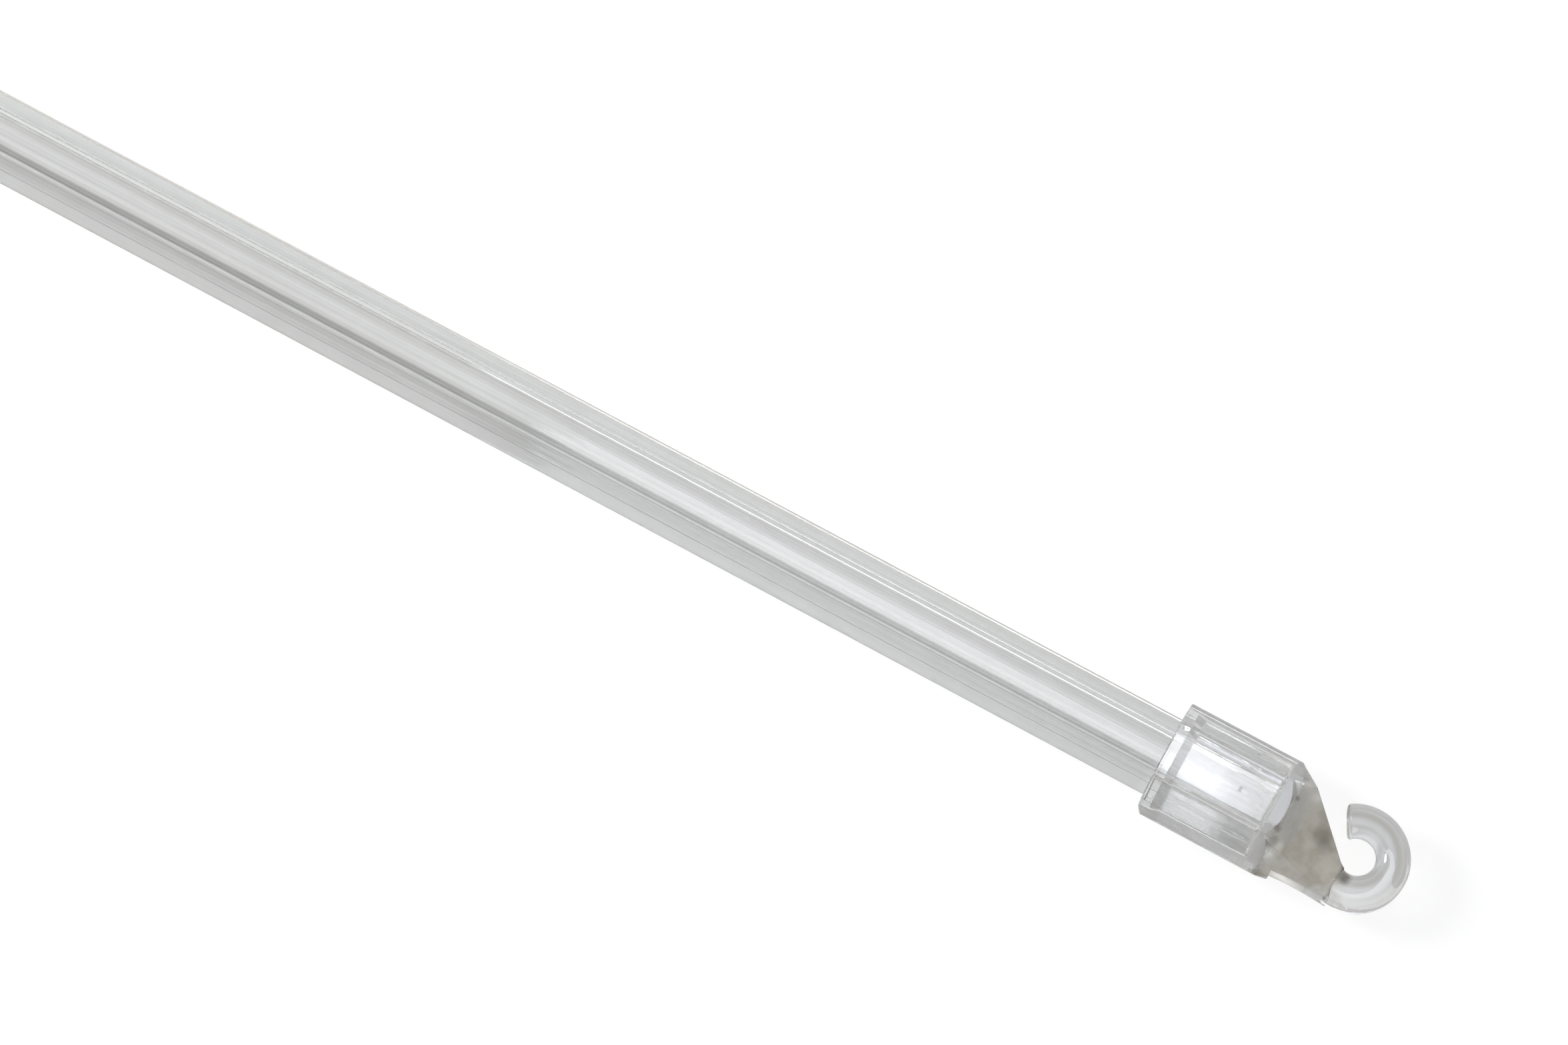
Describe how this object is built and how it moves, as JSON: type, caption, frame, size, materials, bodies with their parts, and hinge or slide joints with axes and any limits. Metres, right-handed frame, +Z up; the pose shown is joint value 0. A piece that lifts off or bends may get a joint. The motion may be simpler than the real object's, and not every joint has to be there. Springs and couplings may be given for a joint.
{
  "type": "blind tilt wand",
  "caption": "Clear hexagonal rod pressed into a moulded clear socket cap with an open J-hook, for turning a blind's tilter.",
  "frame": {"origin": "under the middle of the wand's length, on the surface that the cap's lowest flat rests on", "axes": "+X along the wand towards the hook; +Z up, square to the plane of the hook; the hook opens towards +Y and back along the rod"},
  "size_m": [0.61, 0.013, 0.0114],
  "materials": {
    "rod_plastic": "clear extruded acrylic, glossy with fine lines along its length",
    "cap_plastic": "clear injection-moulded plastic, glossy"
  },
  "bodies": {
    "root": {"hex_rod": "rod_plastic", "hook_cap": "cap_plastic"}
  },
  "joints": []
}
